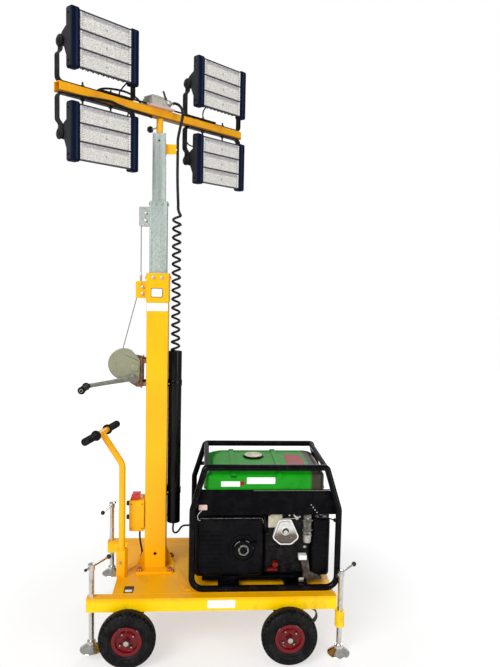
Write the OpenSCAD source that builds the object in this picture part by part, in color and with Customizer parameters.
// Mobile light tower: a hand trolley with a winch-raised telescopic mast,
// four floodlights on a turning crossbar, and an open-frame generator on the deck.
// Millimetres. +Z is up, +X runs from the push handle to the generator,
// and the side that faces -Y is the working side with the winch crank.

/* [Chassis] */
// Length of the two side beams
chassis_l = 1090; // [1000:10:1200]
// Width over the side beams
chassis_w = 656; // [620:2:760]
// Height of the deck above the ground
deck_h = 277; // [265:1:320]
// Height of a side beam
beam_h = 60; // [50:1:70]
// Width of a side beam
beam_w = 44; // [40:1:56]
// Thickness of the deck plate
plate_t = 5; // [3:1:8]
// Length of side beam left clear of the deck plate for the jacks
beam_tail = 106; // [96:1:130]

/* [Wheels] */
// Outside diameter of a tyre
tyre_d = 246; // [220:2:256]
// Width of a tyre
tyre_w = 74; // [60:1:84]
// Diameter of the wheel rim
rim_d = 126; // [110:1:140]
// Distance between the two axles
wheel_base = 700; // [640:5:760]
// Gap between a tyre and the side beam
tyre_gap = 8; // [6:1:20]

/* [Jacks] */
// Diameter of a jack leg
leg_d = 24; // [20:1:28]
// Length of a jack from its foot to its head
jack_h = 372; // [350:1:420]
// Diameter of a jack foot
foot_d = 100; // [80:2:120]
// Length of the long arm of a jack handle
bar_l = 118; // [80:2:126]

/* [Mast] */
// Width of the outer mast tube
outer_s = 100; // [96:1:110]
// Width of the middle mast tube
middle_s = 80; // [78:1:82]
// Width of the inner mast tube
inner_s = 60; // [56:1:62]
// Wall of the mast tubes
mast_t = 4; // [3:0.5:5]
// Length of the outer tube above the deck
outer_l = 1411; // [1350:1:1500]
// Length of the middle tube
middle_l = 1330; // [1200:10:1380]
// Length of the inner tube
inner_l = 1260; // [1100:10:1340]
// Length of the middle tube that stands out of the outer tube
middle_out = 330; // [300:1:400]
// Length of the inner tube that stands out of the middle tube
inner_out = 306; // [300:1:400]

/* [Head] */
// Length of the crossbar
bar_len = 1070; // [1040:10:1300]
// Width of the square crossbar
bar_s = 40; // [36:1:50]
// Angle of the crossbar to the deck
pan = 45; // [0:1:90]
// Distance from the mast to the middle of a floodlight along the crossbar
light_at = 345; // [340:1:400]
// Height from the crossbar's axis to a floodlight's pivot
light_rise = 180; // [176:1:220]
// Width of a floodlight over its end caps
light_w = 330; // [310:2:340]
// Height of a floodlight
light_h = 235; // [210:1:240]
// Depth of a floodlight's end caps
cap_d = 34; // [28:1:40]
// Number of lens modules in a floodlight
modules = 3; // [2:1:4]

/* [Winch and handle] */
// Radius of the winch gear cover
cover_r = 72; // [68:1:76]
// Radius of the rope wound on the drum
wound_r = 29; // [26:1:34]
// Diameter of the winch rope
rope_d = 5; // [4:0.5:6]
// Length of the winch crank arm
crank_l = 216; // [180:2:240]
// Diameter of the handle tube
handle_d = 30; // [26:1:34]
// Height of the handle grips
handle_h = 950; // [900:5:1050]
// Length of the handle's cross bar
grip_span = 372; // [320:2:420]

/* [Generator] */
// Length of the generator frame
gen_l = 681; // [660:1:690]
// Width of the generator frame
gen_w = 530; // [520:1:540]
// Height of the generator frame
gen_h = 571; // [560:1:600]
// Diameter of the generator's frame tube
gen_tube = 28; // [24:1:32]

/* [Hidden] */

$fn = 48;
seat = 0.3;           // gap between pieces that slide or turn on each other
pin_gap = 0.1;        // radial gap of a pin in its bore
yellow = "#f5b800";
steel = "#a9afae";
black = "#17181a";
navy = "#1b2c52";

// Places on the deck, measured from the handle end of the beams and the working side
deck_top = deck_h;
beam_z = deck_h - beam_h;
mast_x = beam_tail + 168;
mast_y = chassis_w / 2;
axle_x = [182, 182 + wheel_base];
axle_z = tyre_d / 2;
axle_d = 20;
hub_l = tyre_w - 4;
left_jack_x = 20;
right_jack_x = chassis_l + 27;
front_jack_y = beam_w / 2;
rear_jack_y = chassis_w - beam_w / 2;
bar_turn = [60, 48, -105, -48];
foot_lift = [40, 0, 95, 40];
gen_x = 438;
gen_y = 40;

// Mast heights at rest
base_t = 10;
outer_top = deck_top + outer_l;
middle_top = outer_top + middle_out;
inner_top = middle_top + inner_out;
collar_h = 133;
collar_t = 3;
pad_h = 50;

// Head
stub_d = 24;
post_d = 31;
post_h = 68;
bar_z = inner_top + seat + post_h + bar_s / 2;
yoke_t = 5;
yoke_w = 30;
yoke_gap = 21;
cap_w = 38;
ear_t = 4;
lead_d = 8;
lead_y = yoke_w / 2 + lead_d / 2 + seat;
lead_z = 7 + seat;

// Winch, measured from the mast's left face
winch_x = mast_x - outer_s / 2;
drum_x = winch_x - 99;
drum_z = 1268;
shaft_x = winch_x - 53;
shaft_z = 1206;
crank_y = mast_y - 94;
drum_l = 84;

// Rope blocks
rope_x = winch_x - 31;
block_w = 50;
block_z = 1571;
block_h = 79;
upper_block_drop = 114;
upper_block_h = 88;

// Conduit and coiled cable beside the mast
conduit_d = 62;
conduit_bore = 52;
conduit_z = [496, 1324];
conduit_x = mast_x + outer_s / 2 + 2 + conduit_d / 2;
coil_d = 45;
coil_z = [800, 1385, 1969];
cable_d = 9;
head_cable_d = 11;
clip_z = 2258;

// Routes of the cables, as points chosen by hand
mast_route = [[0, 0, 1969.2], [0, 0, 1973], [4, -2, 1987], [5, -2, 2010], [3, 0, 2050], [1, 0, 2100],
              [0, 0, 2150], [0, 0, 2200], [0, 0, 2250], [0, 0, 2284]];
supply_route = [[0, 0, 799.7], [0, 0, 700], [0, 0, 600], [0, 0, 520], [0, 0, 490], [-2, -4, 466], [0, -12, 450],
                [12, -20, 446], [26, -20, 456], [36, -10, 468], [49, 4, 472], [70, 13, 470],
                [105, 14, 470]];
head_route = [[0, 0, 2284.5], [1, 0, 2310], [7, -4, 2345], [15, -8, 2385], [18, -5, 2415],
              [14, 4, 2442], [4, 15, 2460], [-10, 25, 2470], [-22, 30, 2472], [-33, 29, 2467],
              [-39.5, 23.7, 2462.3], [-41.8, 21.4, 2462.3]];

// The whole machine is moved so that the middle of its plan lies on the origin
low_x = mast_x - (bar_len / 2 + bar_s / 2) * cos(pan);
high_x = right_jack_x + bar_l * cos(bar_turn[1]) + 11;
plan_x = (low_x + high_x) / 2;
plan_y = chassis_w / 2;

// ---------- shared shapes ----------

module place() translate([-plan_x, -plan_y, 0]) children();

// A rod along Y from one depth to the other
module rod_y(d, y0, y1) translate([0, y0, 0]) rotate([-90, 0, 0]) cylinder(d = d, h = y1 - y0);

// A rod along X
module rod_x(d, x0, x1) translate([x0, 0, 0]) rotate([0, 90, 0]) cylinder(d = d, h = x1 - x0);

// A rectangle with round corners, from its own middle
module round_rect(w, h, r) {
  square([w - 2 * r, h], center = true);
  square([w, h - 2 * r], center = true);
  for (x = [-1, 1], y = [-1, 1]) translate([x * (w / 2 - r), y * (h / 2 - r)]) circle(r);
}

// A square tube standing on its lower end
module box_tube(s, t, h) {
  difference() {
    linear_extrude(h) round_rect(s, s, 5);
    translate([0, 0, -1]) linear_extrude(h + 2) square(s - 2 * t, center = true);
  }
}

// Turns +Z to the direction u, and then a quarter plane on to the direction v
module aim(u, v = [0, 0, 1]) {
  a = atan2(u[1], u[0]);
  b = atan2(norm([u[0], u[1]]), u[2]);
  flat = [v[0] * cos(a) + v[1] * sin(a), v[1] * cos(a) - v[0] * sin(a)];
  rotate([0, b, a]) rotate([0, 0, atan2(flat[1], flat[0] * cos(b) - v[2] * sin(b))]) children();
}

// A tube bent through a path of points, with one radius, or a list of one for each point.
// A bend is a little fuller than the straights, which reach a little way into it.
function unit(v) = v / norm(v);
function turn_of(p, i) = let (a = unit(p[i] - p[i - 1]), b = unit(p[i + 1] - p[i]))
  atan2(norm(cross(a, b)), a * b);
function radius_of(r, i) = is_list(r) ? r[i] : r;
function cut_of(p, i, r) = (i == 0 || i == len(p) - 1) ? 0 : radius_of(r, i) * tan(turn_of(p, i) / 2);
module bent_bar(p, d, r) {
  for (i = [0 : len(p) - 2]) {
    u = unit(p[i + 1] - p[i]);
    c = max(cut_of(p, i, r) - 1.5, 0);
    translate(p[i] + c * u) aim(u, i == 0 ? [0, 0, 1] : unit(p[i - 1] - p[i]))
      cylinder(d = d, h = norm(p[i + 1] - p[i]) - c - max(cut_of(p, i + 1, r) - 1.5, 0));
  }
  for (i = [1 : len(p) - 2]) {
    u = unit(p[i] - p[i - 1]);
    t = turn_of(p, i);
    translate(p[i] - cut_of(p, i, r) * u) aim(u, unit(p[i + 1] - p[i]))
      translate([radius_of(r, i), 0, 0]) rotate([90, 0, 0]) rotate([0, 0, 180 - t])
        rotate_extrude(angle = t) translate([radius_of(r, i), 0]) circle(d = d + 0.4);
  }
}

// A plain cable swept through points, as one closed skin
function ring(p, d, dir, n) = let (
    side = norm(cross(dir, [0, 1, 0])) > 0.1 ? [0, 1, 0] : [1, 0, 0],
    u = cross(dir, side) / norm(cross(dir, side)),
    v = cross(dir, u))
  [for (k = [0 : n - 1]) p + d / 2 * (u * cos(360 * k / n) + v * sin(360 * k / n))];
function way(p, i) = let (
    a = p[max(i - 1, 0)], b = p[min(i + 1, len(p) - 1)]) (b - a) / norm(b - a);
module cable(p, d, n = 8) {
  m = len(p);
  points = [for (i = [0 : m - 1]) each ring(p[i], d, way(p, i), n)];
  sides = [for (i = [0 : m - 2], k = [0 : n - 1]) let (j = (k + 1) % n)
    [i * n + k, i * n + j, (i + 1) * n + j, (i + 1) * n + k]];
  polyhedron(points, concat([[for (k = [n - 1 : -1 : 0]) k]], sides,
                            [[for (k = [0 : n - 1]) (m - 1) * n + k]]));
}

// A flat strip of one thickness, bent along points in its own plane
function across(u) = [-u[1], u[0]];
function side_point(p, i, s) = let (
    a = across(unit(p[max(i, 1)] - p[max(i, 1) - 1])),
    b = across(unit(p[min(i + 1, len(p) - 1)] - p[min(i + 1, len(p) - 1) - 1])),
    m = unit(a + b))
  p[i] + s * m / (m * a);
module strip(p, t) {
  m = len(p);
  polygon([for (i = [0 : m - 1]) side_point(p, i, t / 2), for (i = [m - 1 : -1 : 0]) side_point(p, i, -t / 2)]);
}

// A hexagon bolt head on its washer, pointing up
module bolt_head(d) {
  cylinder(d = 2.2 * d, h = 0.15 * d);
  translate([0, 0, 0.15 * d]) cylinder(d = 1.9 * d, h = 0.6 * d, $fn = 6);
}

// ---------- chassis ----------

// Two box-section beams carry the deck; the left jacks slide in their free ends
module side_beams() color(yellow) place()
  for (y = [front_jack_y, rear_jack_y]) difference() {
    translate([0, y - beam_w / 2, beam_z]) cube([chassis_l, beam_w, beam_h]);
    translate([left_jack_x, y, beam_z - 1]) cylinder(d = leg_d + 2 * pin_gap, h = beam_h + 2);
  }

// Box members between the side beams
module cross_members() color(yellow) place()
  for (x = [beam_tail, mast_x - 25, gen_x + gen_l * 0.3, chassis_l - 40])
    translate([x, beam_w, beam_z + 10])
      cube([40, chassis_w - 2 * beam_w, beam_h - 10 - plate_t]);

// Deck plate let in between the beams
module deck_plate() color(yellow) place()
  translate([beam_tail, beam_w, deck_top - plate_t])
    cube([chassis_l - beam_tail, chassis_w - 2 * beam_w, plate_t]);

// Cheek plate and sleeve that hold a right-hand jack clear of the beam end
sleeve_z = 128;
sleeve_h = 71;
sleeve_d = 42;
module jack_bracket(y) translate([0, y, 0]) {
  difference() {
    union() {
      translate([right_jack_x, 0, sleeve_z]) cylinder(d = sleeve_d, h = sleeve_h);
      translate([0, 4, 0]) rotate([90, 0, 0]) linear_extrude(8)
        polygon([[chassis_l, deck_top - 12], [chassis_l, beam_z], [right_jack_x - 8, sleeve_z + 6],
                 [right_jack_x - 8, sleeve_z + sleeve_h - 6]]);
      translate([chassis_l, -beam_w / 2, beam_z]) cube([6, beam_w, beam_h]);
    }
    translate([right_jack_x, 0, sleeve_z - 1])
      cylinder(d = leg_d + 2 * pin_gap, h = beam_h + sleeve_h + 20);
  }
}
module jack_brackets() color(yellow) place() {
  jack_bracket(front_jack_y);
  jack_bracket(rear_jack_y);
}

// Square axle with round stub ends, hung under both beams on V-shaped hangers
module axle(x) translate([x, 0, axle_z]) {
  translate([-15, 6, -15]) cube([30, chassis_w - 12, 30]);
  rod_y(axle_d, -tyre_gap - tyre_w, chassis_w + tyre_gap + tyre_w);
  for (y = [-tyre_gap + 1, chassis_w - 6]) rod_y(32, y, y + tyre_gap + 5 - 2);
  for (y = [-tyre_gap - hub_l - 8, chassis_w + tyre_gap + hub_l + 3])
    translate([0, y, 0]) rotate([-90, 0, 0]) cylinder(d = 30, h = 5, $fn = 6);
  for (y = [10, chassis_w - 18]) translate([0, y + 8, 0]) rotate([90, 0, 0]) linear_extrude(8)
    polygon([[-70, beam_z - axle_z], [70, beam_z - axle_z], [24, -20], [-24, -20]]);
}
module axles() color("#55585a") place() {
  for (x = axle_x) axle(x);
  tow_hook();
}

// Strap hook under the front beam, beside the right-hand wheel
hook_x = axle_x[1] + 118;
module tow_hook() translate([hook_x, front_jack_y - 12, beam_z]) {
  translate([-30, 0, -5]) cube([40, 24, 5]);
  translate([0, 24, 0]) rotate([90, 0, 0]) linear_extrude(24)
    strip([[-12, -4], for (a = [75 : -15 : -75]) [-14 + 26 * cos(a), -36 + 32 * sin(a)]], 6);
}

// ---------- mast ----------

// Outer tube on its bolted foot, with the collar and the slide pads at its head
pad_t = (outer_s - middle_s) / 2 - mast_t - seat;
module mast_outer() color(yellow) place() translate([mast_x, mast_y, 0]) {
  difference() {
    union() {
      translate([0, 0, deck_top + base_t]) box_tube(outer_s, mast_t, outer_l - base_t);
      translate([0, 0, outer_top - collar_h]) difference() {
        linear_extrude(collar_h) round_rect(outer_s + 2 * collar_t, outer_s + 2 * collar_t, 7);
        translate([0, 0, -1]) linear_extrude(collar_h + 2) square(outer_s - 2, center = true);
      }
    }
    translate([0, 0, deck_top + 79]) rod_y(16, -outer_s, 0);
  }
  translate([0, 0, deck_top]) linear_extrude(base_t) round_rect(176, 188, 10);
  for (x = [-70, 70], y = [-78, 78]) translate([x, y, deck_top + base_t]) bolt_head(14);
  for (a = [0 : 90 : 270]) rotate([0, 0, a]) {
    translate([-20, -outer_s / 2 + mast_t - 0.5, outer_top - pad_h]) cube([40, pad_t + 0.5, pad_h]);
    for (x = [-20, 20]) translate([x, -outer_s / 2 - collar_t, outer_top - 20])
      rotate([90, 0, 0]) bolt_head(8);
  }
  for (a = [0, 180]) rotate([0, 0, a]) translate([outer_s / 2, 4, deck_top + base_t])
    rotate([90, 0, 0]) linear_extrude(8) polygon([[-1, 0], [38, 0], [-1, 90]]);
}

// Middle tube with slide pads at its head
inner_pad_t = (middle_s - inner_s) / 2 - mast_t - seat;
module mast_middle() color(steel) place() translate([mast_x, mast_y, 0]) {
  translate([0, 0, middle_top - middle_l]) box_tube(middle_s, mast_t, middle_l);
  for (a = [0 : 90 : 270]) rotate([0, 0, a]) {
    translate([-15, -middle_s / 2 + mast_t - 0.5, middle_top - pad_h])
      cube([30, inner_pad_t + 0.5, pad_h]);
    for (x = [-16, 16]) translate([x, -middle_s / 2, middle_top - 12])
      rotate([90, 0, 0]) bolt_head(7);
  }
}

// Inner tube with its cap plate and the stub that the head turns on
module mast_inner() color(steel) place() translate([mast_x, mast_y, 0]) {
  difference() {
    translate([0, 0, inner_top - inner_l]) box_tube(inner_s, mast_t, inner_l - 1);
    translate([0, 0, inner_top - 34]) rod_y(9, -inner_s, 0);
  }
  translate([0, 0, inner_top - 5]) linear_extrude(5) round_rect(inner_s, inner_s, 5);
  translate([0, 0, inner_top]) cylinder(d = stub_d, h = post_h - 6);
}

// ---------- rope blocks and ropes ----------

// Two cheeks, a pulley and its bolts, from the rope's own line to the tube face
module rope_block(h) {
  w = block_w;
  for (y = [-17, 13]) translate([-w, y + 4, 0]) rotate([90, 0, 0]) linear_extrude(4)
    translate([w / 2, h / 2]) round_rect(w, h, 4);
  translate([-6, -17, 0]) cube([6, 34, h]);
  for (z = [0.27, 0.66]) translate([-18, 0, h * z]) {
    rod_y(9, -20, 20);
    for (s = [0, 180]) rotate([0, 0, s]) translate([0, -17, 0]) rotate([90, 0, 0]) bolt_head(7);
  }
  translate([-18, 0, h * 0.27 + 2]) difference() {
    rod_y(28, -8, 8);
    rotate([90, 0, 0]) rotate_extrude() translate([16, 0]) circle(d = 8);
  }
}
module lower_rope_block() color(yellow) place() {
  translate([winch_x - collar_t, mast_y, block_z]) rope_block(block_h);
  translate([rope_x, mast_y, block_z + block_h - 12]) {
    rod_y(8, -17, 17);
    translate([0, -17, 0]) rotate([90, 0, 0]) bolt_head(7);
  }
}
module upper_rope_block() color(steel) place()
  translate([mast_x - middle_s / 2, mast_y, middle_top - upper_block_drop])
    rope_block(upper_block_h);

// The rope from the drum to the lower block: straight, and tangent to the wound rope
rope_lean = atan2(rope_x - 13 - (drum_x - wound_r), block_z + 8 - drum_z);
module winch_rope() color("#8d9091") place()
  translate([drum_x, mast_y, drum_z]) rotate([0, rope_lean, 0])
    translate([-wound_r - rope_d / 2 - seat, 0, 0])
      cylinder(d = rope_d, h = (block_z + 4 - drum_z) / cos(rope_lean), $fn = 16);

// The rope from the lower block's anchor to the upper block, with its ferrule
module lift_rope() color("#8d9091") place() translate([rope_x, mast_y, 0]) {
  translate([0, 0, block_z + block_h - 8 + seat])
    cylinder(d = rope_d, h = middle_top - upper_block_drop + 10 - block_z - block_h + 8, $fn = 16);
  translate([0, 0, block_z + block_h]) cylinder(d = 10, h = 40, $fn = 16);
}

// ---------- winch ----------

// Channel bolted to the mast, with the two side plates that carry both shafts
module winch_frame() color("#7c4a36") place() translate([0, mast_y, 0]) {
  difference() {
    union() {
      translate([winch_x - 24, -62, 1156]) cube([6, 124, 139]);
      for (y = [-54, 48]) translate([0, y + 6, 0]) rotate([90, 0, 0]) linear_extrude(6)
        polygon([[winch_x - 20, 1160], [winch_x - 20, 1292], [drum_x + 10, drum_z + 36],
                 [drum_x - 24, drum_z + 20], [drum_x - 24, drum_z - 26], [shaft_x - 20, shaft_z - 26],
                 [shaft_x + 10, 1160]]);
    }
    translate([drum_x, 0, drum_z]) rod_y(16 + 2 * pin_gap, -70, 70);
    translate([shaft_x, 0, shaft_z]) rod_y(16 + 2 * pin_gap, -70, 70);
  }
  for (z = [1172, 1279]) translate([winch_x - 18, 0, z]) {
    for (y = [-50, 32]) translate([0, y, -9]) cube([18, 18, 18]);
    for (y = [-40, 40]) translate([-6, y, 0]) rotate([0, -90, 0]) cylinder(d = 12, h = 5, $fn = 6);
  }
}

// Pressed cover over the winch gear, open to the side plate
module cover_plan(r_gear, r_shaft) {
  hull() {
    translate([drum_x, drum_z]) circle(r_gear);
    translate([shaft_x, shaft_z]) circle(r_shaft);
    translate([winch_x - 34, 1284]) circle(r_shaft / 3);
  }
}
module winch_cover() color("#a4a184") place() translate([0, mast_y - 54 - seat, 0])
  rotate([90, 0, 0]) difference() {
    union() {
      linear_extrude(22) cover_plan(cover_r, 26);
      translate([shaft_x + 4, shaft_z + 46, 22]) cylinder(r1 = 20, r2 = 14, h = 8);
    }
    translate([0, 0, -1]) linear_extrude(20) cover_plan(cover_r - 4, 22);
    translate([shaft_x, shaft_z, -1]) cylinder(d = 26, h = 30);
  }

// Drum with its wound rope, shaft and flanges; the gear sits behind the cover
module winch_drum() color("#8d9091") place() translate([drum_x, mast_y, drum_z]) {
  rod_y(16, -66, 58);
  rod_y(2 * wound_r, -drum_l / 2 + 4, drum_l / 2 - 4);
  for (y = [-drum_l / 2, drum_l / 2 - 4]) rod_y(84, y, y + 4);
  rod_y(118, -66, -58);
}

// Crank: shaft with pinion, flat cranked arm and the pin of the grip
crank_turn = 10.5;
module winch_crank() color("#9b9a86") place() translate([shaft_x, 0, shaft_z]) {
  rod_y(16, crank_y - 8, mast_y + 62);
  rod_y(24, mast_y - 66, mast_y - 58);
  rod_y(34, crank_y - 2, crank_y + 10);
  translate([0, crank_y - 8, 0]) rotate([90, 0, 0]) cylinder(d = 24, h = 8, $fn = 6);
  rotate([0, -crank_turn, 0]) {
    translate([-crank_l, crank_y - 1, -11]) cube([crank_l, 7, 22]);
    translate([-crank_l, 0, 0]) rod_y(22, crank_y - 1, crank_y + 6);
    translate([-crank_l, 0, 0]) rod_y(10, crank_y - 122, crank_y);
  }
}
module crank_grip() color(black) place() translate([shaft_x, 0, shaft_z])
  rotate([0, -crank_turn, 0]) translate([-crank_l, crank_y - 2, 0]) rotate([90, 0, 0])
    rotate_extrude() difference() {
      union() {
        square([15, 112]);
        translate([0, 0]) square([18, 6]);
        translate([0, 106]) square([17, 6]);
      }
      translate([-1, -1]) square([6, 114]);
    }

// ---------- conduit, cable and control box ----------

// Tube that houses the coiled cable, strapped to the mast's side
module conduit() color(black) place() difference() {
  translate([conduit_x, mast_y, 0]) {
    translate([0, 0, conduit_z[0]]) cylinder(d = conduit_d, h = conduit_z[1] - conduit_z[0]);
    for (z = [640, 1160]) translate([0, 0, z]) {
      cylinder(d = conduit_d + 5, h = 26);
      translate([-conduit_d / 2 - 2, -44, 0]) cube([4, 88, 26]);
    }
  }
  translate([conduit_x, mast_y, conduit_z[0] - 1])
    cylinder(d = conduit_bore, h = conduit_z[1] - conduit_z[0] + 2);
  translate([mast_x, mast_y, 700]) cube([outer_s + 0.02, 200, 1400], center = true);
}

module coil_lower() color(black) place() translate([conduit_x, mast_y, coil_z[0]])
  cylinder(d = coil_d, h = coil_z[1] - coil_z[0] - seat);
module coil_upper() color(black) place() translate([conduit_x, mast_y, coil_z[1]])
  cylinder(d = coil_d, h = coil_z[2] - coil_z[1]);

module mast_cable() color(black) place() translate([conduit_x, mast_y, 0]) cable(mast_route, head_cable_d);
module head_lead() color(black) place() translate([conduit_x, mast_y, 0]) cable(head_route, head_cable_d);
module supply_cable() color(black) place() translate([conduit_x, mast_y, 0]) cable(supply_route, cable_d);

// Plate on the inner tube that the cable is tied to
module cable_clip() color(yellow) place() translate([mast_x + inner_s / 2, mast_y, clip_z]) {
  translate([0, -2, -22]) cube([conduit_x - mast_x - inner_s / 2 - head_cable_d / 2 - 0.2, 4, 44]);
  translate([0, -16, -22]) cube([4, 32, 44]);
}

// Switch box on the mast's left side
box_l = 70;
box_w = 104;
box_h = 155;
box_z = 469;
box_x = winch_x - 6 - box_l;
module control_box() color(yellow) place() {
  translate([box_x, mast_y - box_w / 2 - 6, box_z]) cube([box_l, box_w, box_h]);
  for (z = [box_z + 16, box_z + box_h - 40]) translate([winch_x - 6, mast_y - 24, z]) cube([6, 48, 24]);
}
module box_fittings() place() {
  color(black) for (z = [530, 597]) translate([box_x, mast_y - 30, z]) rod_x(26, -14, 0);
  color("#b3261e") translate([box_x + 4, mast_y + 6, box_z + box_h]) rotate([90, 0, 0])
    linear_extrude(50) polygon([[0, 0], [38, 0], [46, 26], [8, 26]]);
}

// ---------- push handle ----------

handle_x = beam_tail + 19;
handle_y = 222;
handle_bend = 142;
handle_reach = 101;
handle_turn = 14;
module handle() color(yellow) place() {
  translate([handle_x, handle_y, deck_top]) {
    linear_extrude(127) difference() {
      round_rect(43, 43, 4);
      circle(d = handle_d + 0.4);
    }
    cylinder(d = handle_d + 6, h = 4);
    translate([0, 0, 127]) difference() {
      cylinder(d = handle_d + 8, h = 6);
      translate([0, 0, -1]) cylinder(d = handle_d + 0.4, h = 8);
    }
  }
  translate([handle_x, handle_y, 0]) rotate([0, 0, -handle_turn]) {
    bent_bar([[0, 0, deck_top + 1], [0, 0, handle_h - handle_bend], [-handle_reach, 0, handle_h]],
             handle_d, 60);
    translate([-handle_reach, 0, handle_h]) rod_y(handle_d - 4, -grip_span / 2 + 6, grip_span / 2 - 6);
  }
}
grip_l = 122;
module handle_grips() color(black) place() translate([handle_x, handle_y, 0])
  rotate([0, 0, -handle_turn]) translate([-handle_reach, 0, handle_h])
    for (s = [-1, 1]) scale([1, s, 1]) translate([0, grip_span / 2 - grip_l, 0]) rotate([-90, 0, 0])
      difference() {
        union() {
          cylinder(d = handle_d + 4, h = grip_l);
          cylinder(d = handle_d + 18, h = 5);
        }
        translate([0, 0, -1]) cylinder(d = handle_d - 4, h = grip_l - 5);
      }

// ---------- generator ----------

shoulder_z = 373;
rail_inset = 63;
front_lean = 27;
rear_lean = 48;
gen_r = gen_tube / 2;
rail_z = gen_h - gen_r;
module gen_place() place() translate([gen_x, gen_y, deck_top + seat]) children();

// One closed loop of the frame: upright to the shoulders, then leaning inwards
foot_bend = 50;
top_bend = 26;
module gen_loop(lean) {
  l = gen_r;
  r = gen_l - gen_r;
  bent_bar([[gen_l / 2, 0, gen_r], [r, 0, gen_r], [r, 0, shoulder_z], [r - rail_inset, lean, rail_z],
            [l + rail_inset, lean, rail_z], [l, 0, shoulder_z], [l, 0, gen_r],
            [gen_l / 2, 0, gen_r]], gen_tube,
           [0, foot_bend, foot_bend, top_bend, top_bend, foot_bend, foot_bend, 0]);
}
module gen_frame() color(black) gen_place() {
  translate([0, gen_r, 0]) gen_loop(front_lean);
  translate([0, gen_w - gen_r, 0]) mirror([0, 1, 0]) gen_loop(rear_lean);
  for (x = [gen_r + rail_inset + 24, gen_l - gen_r - rail_inset - 24])
    translate([x, 0, rail_z]) rod_y(gen_tube - 4, gen_r + front_lean, gen_w - gen_r - rear_lean);
  for (x = [150, 440]) translate([x, gen_r, 4]) cube([70, gen_w - gen_tube, 16]);
  bearer_y = gen_w - gen_r - rear_lean * (447 - shoulder_z) / (rail_z - shoulder_z);
  translate([36, bearer_y - 6, 435]) cube([gen_l - 72, 12, 18]);
  for (x = [110, 530]) translate([x, 300, 447]) cube([30, bearer_y - 300, 6]);
}

// Front panel above the alternator and the engine, hung between the uprights
module gen_panel() color(black) gen_place() {
  translate([gen_r + seat, 40, 341]) cube([gen_l - gen_tube - 2 * seat, 20, 112]);
}

module gen_alternator() color(black) gen_place() {
  translate([181, 60, 183]) rotate([-90, 0, 0]) linear_extrude(380) round_rect(314, 282, 26);
  translate([245, 60, 175]) rotate([90, 0, 0]) cylinder(r1 = 46, r2 = 38, h = 16);
  for (y = [90, 380]) translate([150, y, 20]) cube([70, 40, 30]);
}

// Crankcase with the finned cylinder towards the working side, and the silencer box behind
module gen_engine() color("#2b2c2e") gen_place() {
  translate([338 + seat, 255, 140]) rotate([90, 0, 90]) linear_extrude(220) round_rect(330, 200, 24);
  translate([445, 366, 255]) rotate([90, 0, 0]) linear_extrude(298) round_rect(150, 134, 16);
  for (y = [66 : 14 : 192]) translate([445, y + 4, 260]) rotate([90, 0, 0]) linear_extrude(4)
    round_rect(170, 150, 12);
  for (y = [120, 350]) translate([440, y, 20]) cube([70, 40, 24]);
  translate([352, 470, 150]) rotate([90, 0, 0]) linear_extrude(104) translate([100, 80])
    round_rect(220, 150, 30);
}

// Valve cover with six round corners, widest below its middle, on the working side of the engine
module gen_head_cover() color("#c9c7bf") gen_place() translate([433, 66, 260]) rotate([90, 0, 0]) {
  difference() {
    linear_extrude(24) head_plan(0);
    translate([0, 0, 20]) linear_extrude(6) head_plan(9);
  }
  translate([0, 0, 19]) cylinder(d = 40, h = 8);
  cylinder(d = 24, h = 31);
}
module head_plan(inset) hull()
  for (p = [[-22, 45], [24, 45], [47, -14], [45, -22], [11, -46], [-13, -46], [-46, -22], [-48, -14]])
    translate(p) circle(13 - inset);

module gen_air_cleaner() color(black) gen_place() {
  translate([558 + 2 * seat, 70, 40]) rotate([-90, 0, 0]) mirror([0, 1, 0])
    linear_extrude(200) translate([42, 136]) round_rect(84, 272, 20);
}

// Pressed fuel tank: round corners, a sloped left end, and two ribs over the top
tank_l = 548;
tank_w = 386;
tank_h = 82;
tank_x = 62;
tank_y = 48;
tank_z = 453 + seat;
tank_r = 28;
tank_side = 64;
shoulder = 20;
left_slope = 56;
filler = [236, 226];
ribs = [126, 332];
rib_h = 4;
module tank_shell(grow) hull() {
  translate([tank_l / 2, tank_w / 2, 0]) linear_extrude(tank_side)
    round_rect(tank_l + 2 * grow, tank_w + 2 * grow, tank_r);
  translate([(tank_l + left_slope - shoulder) / 2, tank_w / 2, tank_side + 8]) linear_extrude(tank_h - tank_side - 8 + grow)
    round_rect(tank_l - left_slope - shoulder + 2 * grow, tank_w - 2 * shoulder + 2 * grow, tank_r);
}
module gen_tank() color("#0c7d3b") gen_place() translate([tank_x, tank_y, tank_z]) difference() {
  union() {
    tank_shell(0);
    intersection() {
      tank_shell(rib_h);
      for (x = ribs) translate([x, -tank_w / 2, 6]) cube([14, tank_w * 1.4, tank_h]);
    }
  }
  translate([filler[0], filler[1], tank_h - 6]) cylinder(d = 108, h = 20);
}
module gen_tank_cap() color("#b9b9a8") gen_place() translate([tank_x + filler[0], tank_y + filler[1], tank_z + tank_h - 6])
  rotate_extrude() polygon([[0, 0], [40, 0], [43, 4], [43, 12], [38, 17], [0, 19]]);

// ---------- head ----------

// Everything on the crossbar, in a frame with X along the bar and its middle on the mast
module head() place() translate([mast_x, mast_y, bar_z]) rotate([0, 0, pan]) children();

clamp_drop = 38;
module crossbar() color("#e8950c") head() {
  rotate([0, 90, 0]) translate([0, 0, -bar_len / 2]) linear_extrude(bar_len)
    round_rect(bar_s, bar_s, 3);
  translate([0, 0, -bar_s / 2 - post_h]) difference() {
    cylinder(d = post_d, h = post_h + 1);
    translate([0, 0, -1]) cylinder(d = stub_d + 2 * pin_gap, h = post_h - 2);
  }
  translate([0, 0, -bar_s / 2 - clamp_drop]) {
    rod_y(7, post_d / 2 - 2, 62);
    translate([0, 56, 0]) rotate([-90, 0, 0]) cylinder(d = 30, h = 18);
  }
}

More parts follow.
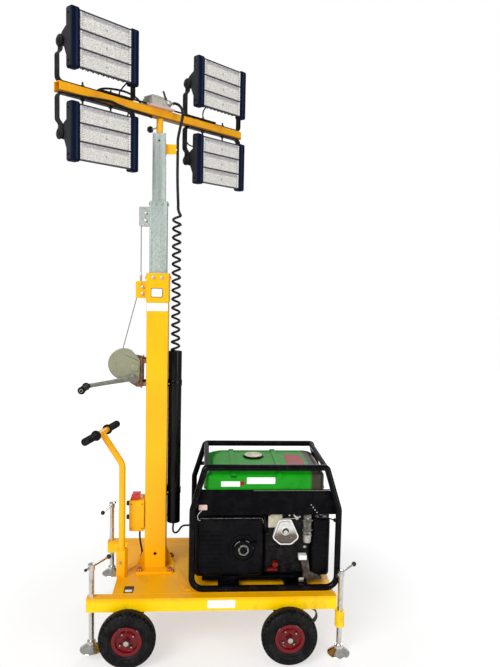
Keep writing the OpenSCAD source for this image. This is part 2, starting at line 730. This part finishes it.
module junction_box() color("#b5b3a8") head() translate([-30, -4, bar_s / 2]) {
  linear_extrude(52) round_rect(104, 76, 10);
  translate([0, 0, 52]) linear_extrude(6) round_rect(96, 68, 8);
  translate([50, -10, 30]) {
    rod_x(30, 0, 9);
    rod_x(20, 9, 24);
  }
  translate([0, 0, 58]) cylinder(r1 = 24, r2 = 16, h = 6);
  for (y = [-1, 1]) translate([-52, 4 + y * lead_y, lead_z]) rod_x(14, -14, 2);
}

// Four U-shaped yokes, bolted back to back through the bar. Each arm is one bent
// strip: a round bend off the bar, and a jog inwards below the pivot.
arm_at = light_w / 2 + yoke_gap;
arm_mid = arm_at + yoke_t / 2;
bend_r = 20;
jog = 15;
arm_path = concat(
  [[-1, bar_s / 2 + yoke_t / 2]],
  [for (a = [-90 : 15 : 0]) [arm_mid - bend_r + bend_r * cos(a), bar_s / 2 + yoke_t / 2 + bend_r + bend_r * sin(a)]],
  [[arm_mid, light_rise - 62], [arm_mid - jog, light_rise - 40], [arm_mid - jog, light_rise]]);
module yoke() {
  for (s = [0, 180]) rotate([0, 0, s]) {
    rotate([90, 0, 0]) linear_extrude(yoke_w, center = true) strip(arm_path, yoke_t);
    translate([arm_mid - jog, 0, light_rise]) rotate([0, 90, 0]) {
      cylinder(d = yoke_w, h = yoke_t, center = true);
      translate([0, 0, yoke_t / 2]) cylinder(d = 22, h = 10, $fn = 6);
      translate([0, 0, -yoke_gap + jog - yoke_t / 2 + seat]) cylinder(d = 30, h = yoke_gap - jog);
    }
  }
  for (x = [-70, 70]) translate([x, 0, bar_s / 2 + yoke_t]) cylinder(d = 16, h = 7, $fn = 6);
}
module light_yokes() color(black) head() for (x = [-light_at, light_at]) {
  translate([x, 0, 0]) yoke();
  translate([x, 0, 0]) rotate([180, 0, 0]) yoke();
}

// Leads from the junction box along the top of the bar, beside the yokes
module light_leads() color(black) head() for (y = [-lead_y, lead_y]) translate([0, y, bar_s / 2 + lead_z]) {
  rod_x(lead_d, 22, light_at);
  rod_x(lead_d, -light_at, -96);
}

// ---------- floodlights ----------

front_d = 70;
light_up = 6;
cap_over = 9;
module_h = (light_h - 2 * cap_over) / modules;
fin_d = 46;
body_w = light_w - 2 * cap_w;

// Side profile of an end cap, depth along X and height along Y, with a notch below
module cap_plan() difference() {
  translate([cap_d / 2 - front_d, 0]) round_rect(cap_d, light_h, 9);
  translate([cap_d / 2 - front_d, -light_h / 2]) circle(d = 12);
}

// Plate that reaches back from an end cap to the pivot
module ear_plan() polygon(concat(
  [[cap_d - front_d - 2, -58], [cap_d - front_d + 4, -58], [-18, -26]],
  [for (a = [-60 : 15 : 45]) [20 * cos(a), 20 * sin(a)]],
  [[-6, 36], [cap_d - front_d + 4, 52], [cap_d - front_d - 2, 52]]));

module fin_comb(w, depth) {
  count = floor(w / 13);
  for (i = [0 : count]) translate([-w / 2 + i * (w - 3) / count, 0]) square([3, depth]);
  translate([-w / 2, 0]) square([w, 8]);
}
module floodlight() {
  for (s = [-1, 1]) translate([s * (light_w / 2 - cap_w / 2), 0, light_up]) rotate([90, 0, 90])
    linear_extrude(cap_w, center = true) cap_plan();
  for (s = [-1, 1]) translate([s * (light_w / 2 - ear_t / 2), 0, 0]) rotate([90, 0, 90])
    linear_extrude(ear_t, center = true) ear_plan();
  for (i = [0 : modules - 1]) translate([0, -front_d + 10, light_up + (i - (modules - 1) / 2) * module_h])
    translate([0, 0, -module_h / 2 + 2]) linear_extrude(module_h - 4) fin_comb(body_w + 2, fin_d);
}
lens_h = module_h - 5;
lens_band = 15;
module lens_set() for (i = [0 : modules - 1])
  translate([0, -front_d + 10 - seat, light_up + (i - (modules - 1) / 2) * module_h]) rotate([90, 0, 0]) {
    linear_extrude(5) round_rect(body_w - 4, lens_h, 4);
    translate([0, -lens_band / 2, 4.9]) linear_extrude(2.1) round_rect(body_w - 16, lens_h - lens_band - 4, 3);
  }
module at_light(side, up) translate([side * light_at, 0, up * light_rise]) children();

module upper_left_light() color(navy) head() at_light(-1, 1) floodlight();
module lower_left_light() color(navy) head() at_light(-1, -1) floodlight();
module upper_right_light() color(navy) head() at_light(1, 1) floodlight();
module lower_right_light() color(navy) head() at_light(1, -1) floodlight();
module upper_left_lens() color("#e4e6e2") head() at_light(-1, 1) lens_set();
module lower_left_lens() color("#e4e6e2") head() at_light(-1, -1) lens_set();
module upper_right_lens() color("#e4e6e2") head() at_light(1, 1) lens_set();
module lower_right_lens() color("#e4e6e2") head() at_light(1, -1) lens_set();

// ---------- wheels ----------

wheel_y = tyre_gap + tyre_w / 2;
module at_wheel(i, side) place()
  translate([axle_x[i], side > 0 ? -wheel_y : chassis_w + wheel_y, axle_z])
    rotate([side * 90, 0, 0]) children();

// Section of the tyre, turned round the wheel's axis
module tyre() rotate_extrude($fn = 96) difference() {
  translate([(rim_d + tyre_d) / 4, 0]) round_rect((tyre_d - rim_d) / 2, tyre_w, 24);
  for (y = [-12, 12]) translate([tyre_d / 2, y]) square([8, 5], center = true);
}
// Pressed rim with its dished disc and hub
module rim() difference() {
  rotate_extrude($fn = 96) polygon([
    [axle_d / 2 + pin_gap, -hub_l / 2], [19, -hub_l / 2], [19, 8], [34, 14], [rim_d / 2 - 12, 6],
    [rim_d / 2 - 12, -20], [rim_d / 2 - 6, -26], [rim_d / 2 - seat / 2, -26],
    [rim_d / 2 - seat / 2, 26], [rim_d / 2 - 6, 26], [rim_d / 2 - 12, 20],
    [rim_d / 2 - 12, 12], [34, 20], [19, 14], [19, hub_l / 2],
    [axle_d / 2 + pin_gap, hub_l / 2]]);
  for (a = [45 : 90 : 315]) rotate([0, 0, a]) translate([30, 0, -40]) cylinder(d = 8, h = 80, $fn = 16);
}
module front_left_tyre() color(black) at_wheel(0, 1) tyre();
module front_right_tyre() color(black) at_wheel(1, 1) tyre();
module rear_left_tyre() color(black) at_wheel(0, -1) tyre();
module rear_right_tyre() color(black) at_wheel(1, -1) tyre();
module front_left_rim() color("#8e1420") at_wheel(0, 1) rim();
module front_right_rim() color("#8e1420") at_wheel(1, 1) rim();
module rear_left_rim() color("#8e1420") at_wheel(0, -1) rim();
module rear_right_rim() color("#8e1420") at_wheel(1, -1) rim();

// ---------- jacks ----------

// A screw jack: dished foot, round leg and a tommy bar through its head
module jack(x, y, lift, turn) place() translate([x, y, lift]) {
  rotate_extrude() polygon([[0, 0], [foot_d / 2, 0], [foot_d / 2, 5], [foot_d / 2 - 6, 9],
                            [leg_d / 2 + 10, 24], [leg_d / 2 + 8, 40], [0, 40]]);
  cylinder(d = leg_d, h = jack_h);
  translate([0, 0, jack_h - 14]) cylinder(d = leg_d + 6, h = 28);
  translate([0, 0, jack_h]) rotate([0, 0, turn]) {
    rod_x(10, -38, bar_l);
    translate([bar_l, 0, 0]) sphere(d = 22);
    translate([-38, 0, 0]) sphere(d = 14);
  }
}
module front_left_jack() color("silver") jack(left_jack_x, front_jack_y, foot_lift[0], bar_turn[0]);
module front_right_jack() color("silver") jack(right_jack_x, front_jack_y, foot_lift[1], bar_turn[1]);
module rear_left_jack() color("silver") jack(left_jack_x, rear_jack_y, foot_lift[2], bar_turn[2]);
module rear_right_jack() color("silver") jack(right_jack_x, rear_jack_y, foot_lift[3], bar_turn[3]);

// ---------- assembly ----------

side_beams();
cross_members();
deck_plate();
jack_brackets();
axles();
mast_outer();
lower_rope_block();
winch_frame();
winch_cover();
winch_rope();
conduit();
supply_cable();
control_box();
box_fittings();
handle();
handle_grips();
gen_frame();
gen_tank();
gen_tank_cap();
gen_panel();
gen_alternator();
gen_engine();
gen_head_cover();
gen_air_cleaner();
winch_drum();
winch_crank();
crank_grip();
mast_middle();
upper_rope_block();
lift_rope();
coil_lower();
mast_inner();
cable_clip();
coil_upper();
mast_cable();
crossbar();
junction_box();
light_yokes();
light_leads();
head_lead();
upper_left_light();
upper_left_lens();
lower_left_light();
lower_left_lens();
upper_right_light();
upper_right_lens();
lower_right_light();
lower_right_lens();
front_left_tyre();
front_left_rim();
front_right_tyre();
front_right_rim();
rear_left_tyre();
rear_left_rim();
rear_right_tyre();
rear_right_rim();
front_left_jack();
front_right_jack();
rear_left_jack();
rear_right_jack();
